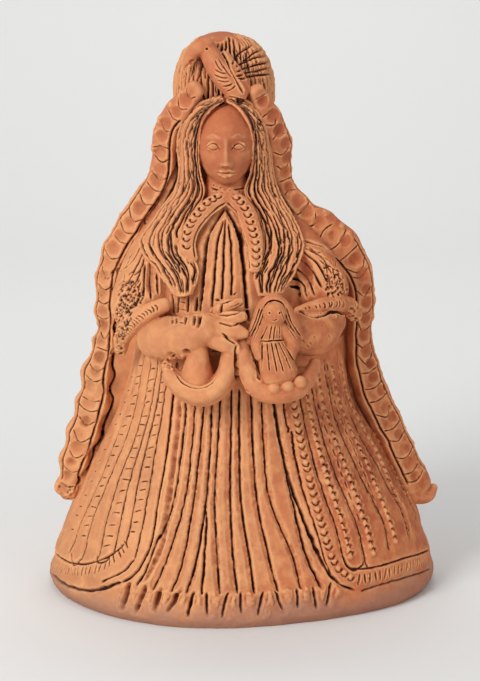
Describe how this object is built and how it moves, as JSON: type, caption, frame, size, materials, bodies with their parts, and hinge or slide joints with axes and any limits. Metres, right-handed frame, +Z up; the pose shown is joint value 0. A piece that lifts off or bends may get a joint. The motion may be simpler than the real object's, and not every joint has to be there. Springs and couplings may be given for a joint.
{
  "type": "terracotta folk figure of a woman",
  "caption": "Hand-modelled terracotta figure of a standing woman in a pleated dress and mantle, a bird on her crown and a small doll in her arms; stands on its flat underside",
  "frame": {"origin": "the middle of the flat underside, below the figure's neck axis where it crosses the skirt's middle", "axes": "+Z up from the underside to the crown, the face looks along -Y, +X is the figure's own left, the viewer's right"},
  "size_m": [0.2854, 0.2204, 0.4],
  "materials": {
    "terracotta": "unglazed fired clay, matte, orange to red-brown, with dark lines where the tool scored it"
  },
  "bodies": {
    "root": {"female_figure": "terracotta"}
  },
  "joints": []
}
